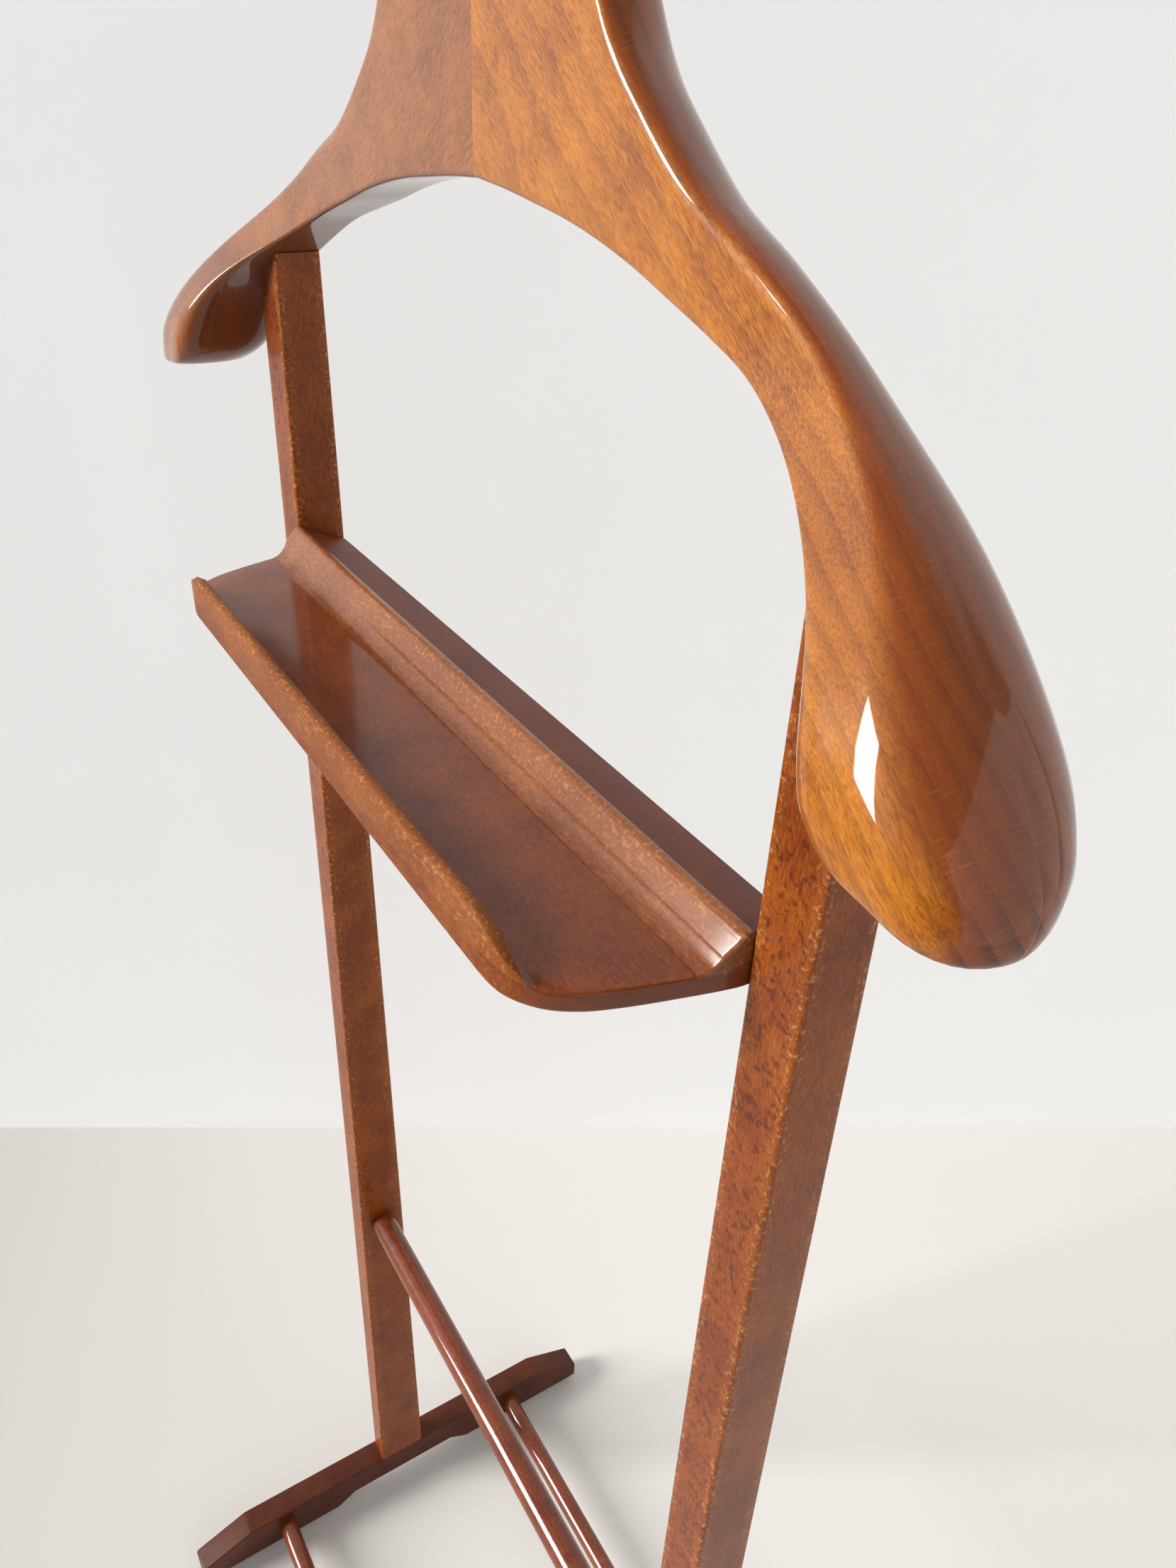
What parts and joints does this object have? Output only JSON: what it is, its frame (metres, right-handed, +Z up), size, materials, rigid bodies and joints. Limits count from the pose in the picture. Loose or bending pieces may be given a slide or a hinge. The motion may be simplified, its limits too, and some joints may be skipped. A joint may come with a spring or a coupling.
{
  "type": "valet stand",
  "caption": "Free-standing beech valet stand with a carved coat hanger, a coved tray, a round trouser bar and two foot rails tied by round stretchers, stained brown and lacquered.",
  "frame": {"origin": "on the floor, midway between the four glides", "axes": "+Z up, +X to the viewer's right as seen from the front, -Y towards the front, where the tray's trough is"},
  "size_m": [0.5104, 0.336, 1.095],
  "materials": {
    "hanger_brown": "stained beech, pinkish brown, gloss lacquer",
    "hanger_gold": "stained beech, golden brown, gloss lacquer",
    "upright_beech": "stained beech, flecked, satin-gloss lacquer",
    "tray_beech": "stained beech, dark brown, gloss lacquer",
    "bar_beech": "stained beech, red brown, gloss lacquer",
    "rail_beech": "stained beech, dark brown, satin lacquer",
    "raw_beech": "plain unfinished beech dowel",
    "glide_plastic": "black nail-on glide",
    "nail_steel": "plain steel nail"
  },
  "bodies": {
    "root": {"hanger_left": "hanger_brown", "hanger_right": "hanger_gold", "seam_dowel_lower": "raw_beech", "seam_dowel_upper": "raw_beech", "upright_left": "upright_beech", "shoulder_dowel_left": "raw_beech", "foot_dowel_left_front": "raw_beech", "foot_dowel_left_rear": "raw_beech", "upright_right": "upright_beech", "shoulder_dowel_right": "raw_beech", "foot_dowel_right_front": "raw_beech", "foot_dowel_right_rear": "raw_beech", "tray": "tray_beech", "tray_dowel_left_front": "raw_beech", "tray_dowel_left_rear": "raw_beech", "tray_dowel_right_front": "raw_beech", "tray_dowel_right_rear": "raw_beech", "trouser_bar": "bar_beech", "stretcher_front": "bar_beech", "stretcher_rear": "bar_beech", "foot_rail_left": "rail_beech", "glide_left_front": "glide_plastic", "glide_nail_left_front": "nail_steel", "glide_left_rear": "glide_plastic", "glide_nail_left_rear": "nail_steel", "foot_rail_right": "rail_beech", "glide_right_front": "glide_plastic", "glide_nail_right_front": "nail_steel", "glide_right_rear": "glide_plastic", "glide_nail_right_rear": "nail_steel"}
  },
  "joints": []
}
